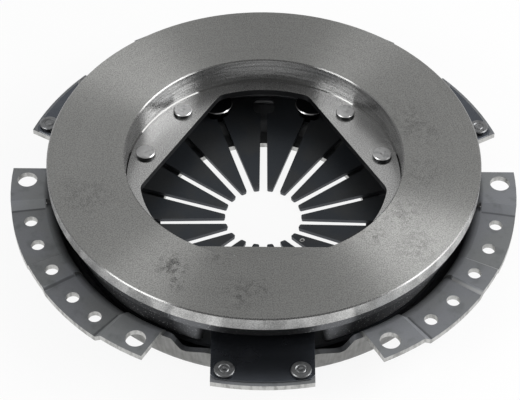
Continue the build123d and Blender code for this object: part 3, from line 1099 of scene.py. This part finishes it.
@dataclass
class RigidPieces:
    """The frame's own solids, each group with its finish."""

    nodes: dict[str, bpy.types.Object]
    finishes: dict[str, Finish] = field(
        default_factory=lambda: {
            "pressure_plate_casting": TurnedIron(),
            "cover": PhosphatedSheet(),
            "fulcrum_ring": DrawnWire(),
            "plate_rivet": RivetSteel(),
            "ear_rivet": RivetSteel(
                "ear_rivet_steel",
                skin=srgb(138, 139, 140),
                scale=srgb(98, 99, 101),
                rim_highlight=srgb(130, 131, 132),
                root_shade=srgb(64, 65, 67),
            ),
            "spacer_rivet": RivetSteel(
                "black_rivet_steel",
                skin=srgb(74, 76, 80),
                scale=srgb(50, 52, 55),
                rim_highlight=srgb(190, 190, 190),
                root_shade=srgb(22, 23, 25),
                gloss=0.24,
                outer_rim_highlight=0.1,
            ),
        }
    )

    def dress(self) -> None:
        """Gives every rigid solid its finish."""
        for prefix, finish in self.finishes.items():
            material = finish.material()
            for name, node in sorted(self.nodes.items()):
                if not name.startswith(prefix):
                    continue
                node.data.materials.clear()
                node.data.materials.append(material)
                LOG.info("dressed %s with %s", name, finish.title)


# ------------------------------------------------------------------------------- studio


@dataclass(frozen=True)
class Softbox:
    """A rectangular lamp that looks at the part; its angles are in degrees."""

    name: str
    azimuth: float
    elevation: float
    distance: float
    radiance: float
    width: float = 0.60
    height: float = 0.40

    def build(self, target: Vector) -> None:
        """Hangs the lamp; azimuth 0 is the viewer's side and 90 is the right.

        Args:
            target: The point that it looks at.
        """
        turn, tilt = math.radians(self.azimuth), math.radians(self.elevation)
        back = Vector((math.sin(turn) * math.cos(tilt), -math.cos(turn) * math.cos(tilt), math.sin(tilt)))
        lamp = bpy.data.lights.new(self.name, "AREA")
        lamp.shape = "RECTANGLE"
        lamp.size, lamp.size_y = self.width, self.height
        lamp.energy = self.radiance * math.pi * self.width * self.height
        hung = bpy.data.objects.new(self.name, lamp)
        hung.location = target + back * self.distance
        hung.rotation_euler = back.to_track_quat("Z", "Y").to_euler()
        hung.visible_camera = False
        bpy.context.scene.collection.objects.link(hung)


@dataclass
class Studio:
    """Floor, world, lamps and camera."""

    floor_level: float
    floor_reach: float = 3.0
    shadow_share: float = 0.10
    ambient: float = 0.5
    dome: float = 0.57
    horizon: float = 0.34
    front_shade: float = 0.62
    low_heights: tuple[float, float] = (0.5, 0.1)
    back_reach: tuple[float, float] = (-0.5, -0.95)
    viewer_reach: tuple[float, float] = (0.55, 0.95)
    floor_colour: tuple = (0.9, 0.9, 0.9, 1.0)
    target: Vector = field(default_factory=lambda: Vector((-1.909, -13.760, 0.0)) * MM)
    azimuth: float = math.radians(0.1617)
    elevation: float = math.radians(46.2241)
    distance: float = 1034.56 * MM
    roll: float = math.radians(0.6032)
    lens: float = 134.4465
    boxes: tuple[Softbox, ...] = (
        Softbox("right_box", azimuth=89, elevation=35, distance=0.80, radiance=5.6),
        Softbox("left_box", azimuth=-61, elevation=33, distance=1.25, radiance=6.2),
    )

    def _floor(self) -> None:
        """Pale floor that looks white to the viewer but keeps a faint shadow."""
        build = bmesh.new()
        bmesh.ops.create_grid(build, x_segments=1, y_segments=1, size=self.floor_reach)
        bmesh.ops.translate(build, vec=(0, 0, self.floor_level), verts=build.verts)
        material = bpy.data.materials.new("pale_floor")
        material.use_nodes = True
        graph = Graph(material.node_tree)
        seen = self._seen(graph)
        white = graph.add("ShaderNodeEmission", None, {"Color": WHITE, "Strength": 1.0})
        matt = graph.add("ShaderNodeBsdfDiffuse", None, {"Color": self.floor_colour})
        sockets = {0: seen * (1 - self.shadow_share), 1: matt.outputs[0], 2: white.outputs[0]}
        mix = graph.add("ShaderNodeMixShader", None, sockets)
        graph.add("ShaderNodeOutputMaterial", None, {"Surface": mix.outputs[0]})
        mesh_object("floor", build, material)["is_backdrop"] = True

    @staticmethod
    def _seen(graph: Graph) -> Term:
        """Tells which rays show the background itself.

        Args:
            graph: The node tree that asks.

        Returns:
            One for camera, glossy and transmission rays, and zero for others.
        """
        path = graph.add("ShaderNodeLightPath")
        camera = Term(graph, path.outputs["Is Camera Ray"])
        glossy = Term(graph, path.outputs["Is Glossy Ray"])
        return camera.most(glossy).most(Term(graph, path.outputs["Is Transmission Ray"]))

    def _world(self) -> None:
        """World: even light for matt surfaces, a dome in reflections, white to the camera.

        The dome is grey, darker low at the sides and towards the viewer, and white low at
        the back.
        """
        world = bpy.data.worlds.new("studio")
        world.use_nodes = True
        bpy.context.scene.world = world
        graph = Graph(world.node_tree)
        source = graph.add("ShaderNodeTexCoord").outputs["Generated"]
        parts = graph.add("ShaderNodeSeparateXYZ", None, {0: source})
        front, height = Term(graph, parts.outputs[1]) * -1, Term(graph, parts.outputs[2])
        towards_viewer = front * math.cos(self.elevation) + height * math.sin(self.elevation)
        low = height.rise(*self.low_heights)
        horizon = self.horizon + front.rise(*self.back_reach) * (1 - self.horizon)
        sky = self.dome + low * (horizon - self.dome)
        sky = sky * (1 - towards_viewer.rise(*self.viewer_reach) * self.front_shade)
        seen = self._seen(graph)
        camera = Term(graph, graph.add("ShaderNodeLightPath").outputs["Is Camera Ray"])
        strength = (self.ambient * (1 - seen) + seen * sky).most(camera)
        light = graph.add("ShaderNodeBackground", None, {"Color": WHITE, "Strength": strength})
        graph.add("ShaderNodeOutputWorld", None, {"Surface": light.outputs[0]})

    def _camera(self) -> None:
        """Camera looking down on the friction face."""
        level = math.cos(self.elevation)
        ahead = Vector(
            (math.sin(self.azimuth) * level, math.cos(self.azimuth) * level, -math.sin(self.elevation))
        )
        lens = bpy.data.cameras.new("camera")
        lens.lens = self.lens
        camera = bpy.data.objects.new("camera", lens)
        camera.location = self.target - ahead * self.distance
        aim = (-ahead).to_track_quat("Z", "Y")
        spin = Euler((0, 0, self.roll)).to_quaternion()
        camera.rotation_euler = (aim @ spin).to_euler()
        bpy.context.scene.collection.objects.link(camera)
        bpy.context.scene.camera = camera

    def build(self) -> None:
        """Sets up everything round the part."""
        self._floor()
        self._world()
        for box in self.boxes:
            box.build(self.target)
        self._camera()
        bpy.context.scene.view_settings.view_transform = "Standard"


def main() -> None:
    """Builds the part's looks round the frame."""
    logging.basicConfig(level=logging.INFO, format="%(name)s: %(message)s")
    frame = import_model()
    frame_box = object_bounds()
    RigidPieces(frame["nodes"]).dress()
    spring = DiaphragmSpring(TemperedSpring()).build()
    LOG.info("built %s", spring.name)
    strip = BluedStrip().material()
    for number in (1, 2, 3):
        LOG.info("built %s", LeafSpring(number, strip).build().name)
    Studio(floor_level=frame_box[0].z - FLOOR_GAP).build()


if __name__ == "__main__":
    main()
